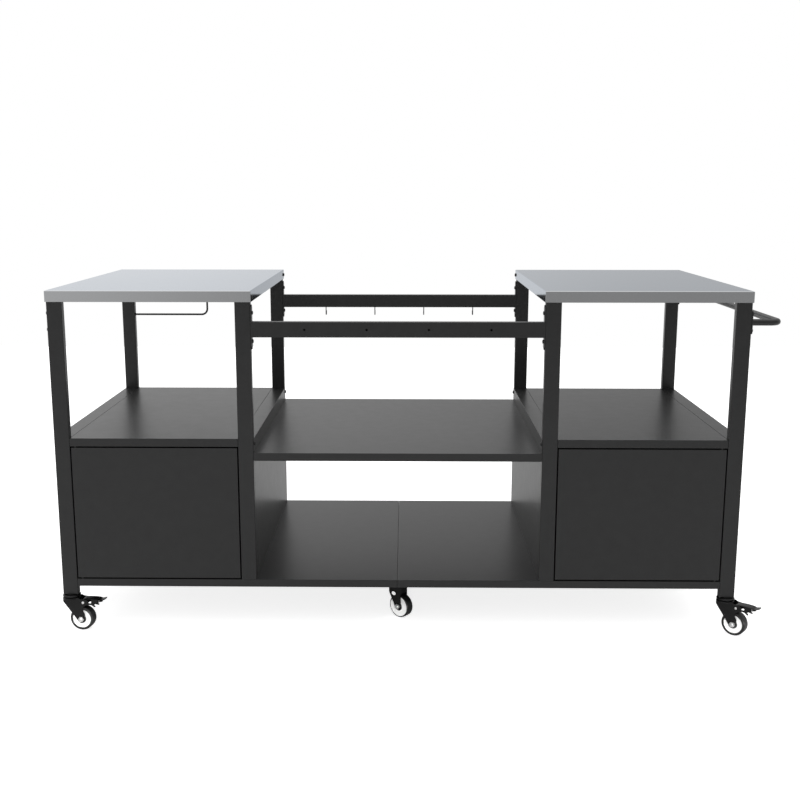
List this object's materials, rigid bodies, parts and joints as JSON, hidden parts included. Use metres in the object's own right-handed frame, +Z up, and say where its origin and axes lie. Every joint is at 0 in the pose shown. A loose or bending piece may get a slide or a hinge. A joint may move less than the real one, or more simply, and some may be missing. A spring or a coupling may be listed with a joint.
{
  "type": "kamado grill table",
  "caption": "Rolling outdoor kitchen table with stainless worktops either side of an open bay for a kamado grill, shelves, door cabinets, hooks, push handle and braked castors",
  "frame": {"origin": "on the floor under the middle of the table's outline, the push handle included", "axes": "+X along the table towards the push handle, +Y from the doors to the back, +Z up"},
  "size_m": [1.8812, 0.875, 0.915],
  "materials": {
    "black_powder_coat": "semi-gloss black powder coat with a fine grain on folded steel and steel tube",
    "stainless_sheet": "satin stainless steel, brushed along the table",
    "black_fittings": "black finished steel bolts, wire and rod, slightly glossier than the frame",
    "castor_black": "glossy black electro-coated pressed steel with a bright zinc axle nut",
    "latch_plastic": "matt dark grey moulded plastic",
    "wheel_white": "white moulded nylon, lightly glossy",
    "tyre_black": "smooth black polyurethane tyre"
  },
  "bodies": {
    "frame": {"post_outer_left_front": "black_powder_coat", "post_inner_left_front": "black_powder_coat", "post_outer_left_rear": "black_powder_coat", "post_inner_left_rear": "black_powder_coat", "post_outer_right_front": "black_powder_coat", "post_inner_right_front": "black_powder_coat", "post_outer_right_rear": "black_powder_coat", "post_inner_right_rear": "black_powder_coat", "base_panel_left": "black_powder_coat", "side_panel_outer_left": "black_powder_coat", "side_panel_inner_left": "black_powder_coat", "side_shelf_left": "black_powder_coat", "back_panel_left": "black_powder_coat", "base_panel_right": "black_powder_coat", "side_panel_outer_right": "black_powder_coat", "side_panel_inner_right": "black_powder_coat", "side_shelf_right": "black_powder_coat", "back_panel_right": "black_powder_coat", "centre_beam": "black_powder_coat", "mid_shelf": "black_powder_coat", "crossbar_front": "black_powder_coat", "crossbar_rear": "black_powder_coat", "push_handle": "black_powder_coat", "worktop_left": "stainless_sheet", "worktop_right": "stainless_sheet", "worktop_stiffeners": "stainless_sheet", "dome_bolts": "black_fittings", "utensil_hooks": "black_fittings", "roll_holder_rod": "black_fittings", "door_hinge_pins": "black_fittings", "castor_stems": "castor_black", "latch_housings": "latch_plastic"},
    "door_left": {"door_left": "black_powder_coat"},
    "latch_plunger_left": {"latch_plunger_left": "latch_plastic"},
    "door_right": {"door_right": "black_powder_coat"},
    "latch_plunger_right": {"latch_plunger_right": "latch_plastic"},
    "castor_front_left": {"castor_fork_front_left": "castor_black"},
    "wheel_front_left": {"wheel_core_front_left": "wheel_white", "wheel_tyre_front_left": "tyre_black"},
    "brake_front_left": {"brake_pedal_front_left": "castor_black"},
    "castor_front_middle": {"castor_fork_front_middle": "castor_black"},
    "wheel_front_middle": {"wheel_core_front_middle": "wheel_white", "wheel_tyre_front_middle": "tyre_black"},
    "castor_front_right": {"castor_fork_front_right": "castor_black"},
    "wheel_front_right": {"wheel_core_front_right": "wheel_white", "wheel_tyre_front_right": "tyre_black"},
    "brake_front_right": {"brake_pedal_front_right": "castor_black"},
    "castor_rear_left": {"castor_fork_rear_left": "castor_black"},
    "wheel_rear_left": {"wheel_core_rear_left": "wheel_white", "wheel_tyre_rear_left": "tyre_black"},
    "brake_rear_left": {"brake_pedal_rear_left": "castor_black"},
    "castor_rear_middle": {"castor_fork_rear_middle": "castor_black"},
    "wheel_rear_middle": {"wheel_core_rear_middle": "wheel_white", "wheel_tyre_rear_middle": "tyre_black"},
    "castor_rear_right": {"castor_fork_rear_right": "castor_black"},
    "wheel_rear_right": {"wheel_core_rear_right": "wheel_white", "wheel_tyre_rear_right": "tyre_black"},
    "brake_rear_right": {"brake_pedal_rear_right": "castor_black"}
  },
  "joints": [
    {"name": "door_hinge_left", "type": "hinge", "parent": "frame", "child": "door_left", "pos_m": [-0.88338, -0.371, 0.3], "axis": [0, 0, 1], "range_deg": [-110, 0]},
    {"name": "latch_push_left", "type": "slide", "parent": "frame", "child": "latch_plunger_left", "axis": [0, 1, 0], "range_m": [0, 0.003], "stiffness_N_per_m": 400},
    {"name": "door_hinge_right", "type": "hinge", "parent": "frame", "child": "door_right", "pos_m": [0.80463, -0.371, 0.3], "axis": [0, 0, 1], "range_deg": [0, 110]},
    {"name": "latch_push_right", "type": "slide", "parent": "frame", "child": "latch_plunger_right", "axis": [0, 1, 0], "range_m": [0, 0.003], "stiffness_N_per_m": 400},
    {"name": "swivel_front_left", "type": "hinge", "parent": "frame", "child": "castor_front_left", "pos_m": [-0.91687, -0.368, 0.09], "axis": [0, 0, 1], "continuous": true},
    {"name": "wheel_spin_front_left", "type": "hinge", "parent": "castor_front_left", "child": "wheel_front_left", "pos_m": [-0.88803, -0.37103, 0.0325], "axis": [0.1045, 0.9945, 0], "continuous": true},
    {"name": "brake_press_front_left", "type": "hinge", "parent": "castor_front_left", "child": "brake_front_left", "pos_m": [-0.88157, -0.37171, 0.0791], "axis": [0.1045, 0.9945, 0], "range_deg": [0, 18]},
    {"name": "swivel_front_middle", "type": "hinge", "parent": "frame", "child": "castor_front_middle", "pos_m": [-0.03938, -0.265, 0.09], "axis": [0, 0, 1], "continuous": true},
    {"name": "wheel_spin_front_middle", "type": "hinge", "parent": "castor_front_middle", "child": "wheel_front_middle", "pos_m": [-0.02927, -0.27318, 0.0325], "axis": [0.6293, 0.7771, 0], "continuous": true},
    {"name": "swivel_front_right", "type": "hinge", "parent": "frame", "child": "castor_front_right", "pos_m": [0.83813, -0.368, 0.09], "axis": [0, 0, 1], "continuous": true},
    {"name": "wheel_spin_front_right", "type": "hinge", "parent": "castor_front_right", "child": "wheel_front_right", "pos_m": [0.86066, -0.38625, 0.0325], "axis": [0.6293, 0.7771, 0], "continuous": true},
    {"name": "brake_press_front_right", "type": "hinge", "parent": "castor_front_right", "child": "brake_front_right", "pos_m": [0.86571, -0.39034, 0.0791], "axis": [0.6293, 0.7771, 0], "range_deg": [0, 18]},
    {"name": "swivel_rear_left", "type": "hinge", "parent": "frame", "child": "castor_rear_left", "pos_m": [-0.91687, 0.368, 0.09], "axis": [0, 0, 1], "continuous": true},
    {"name": "wheel_spin_rear_left", "type": "hinge", "parent": "castor_rear_left", "child": "wheel_rear_left", "pos_m": [-0.88803, 0.37103, 0.0325], "axis": [-0.1045, 0.9945, 0], "continuous": true},
    {"name": "brake_press_rear_left", "type": "hinge", "parent": "castor_rear_left", "child": "brake_rear_left", "pos_m": [-0.88157, 0.37171, 0.0791], "axis": [-0.1045, 0.9945, 0], "range_deg": [0, 18]},
    {"name": "swivel_rear_middle", "type": "hinge", "parent": "frame", "child": "castor_rear_middle", "pos_m": [-0.03938, 0.265, 0.09], "axis": [0, 0, 1], "continuous": true},
    {"name": "wheel_spin_rear_middle", "type": "hinge", "parent": "castor_rear_middle", "child": "wheel_rear_middle", "pos_m": [-0.02927, 0.27318, 0.0325], "axis": [-0.6293, 0.7771, 0], "continuous": true},
    {"name": "swivel_rear_right", "type": "hinge", "parent": "frame", "child": "castor_rear_right", "pos_m": [0.83813, 0.368, 0.09], "axis": [0, 0, 1], "continuous": true},
    {"name": "wheel_spin_rear_right", "type": "hinge", "parent": "castor_rear_right", "child": "wheel_rear_right", "pos_m": [0.86066, 0.38625, 0.0325], "axis": [-0.6293, 0.7771, 0], "continuous": true},
    {"name": "brake_press_rear_right", "type": "hinge", "parent": "castor_rear_right", "child": "brake_rear_right", "pos_m": [0.86571, 0.39034, 0.0791], "axis": [-0.6293, 0.7771, 0], "range_deg": [0, 18]}
  ]
}
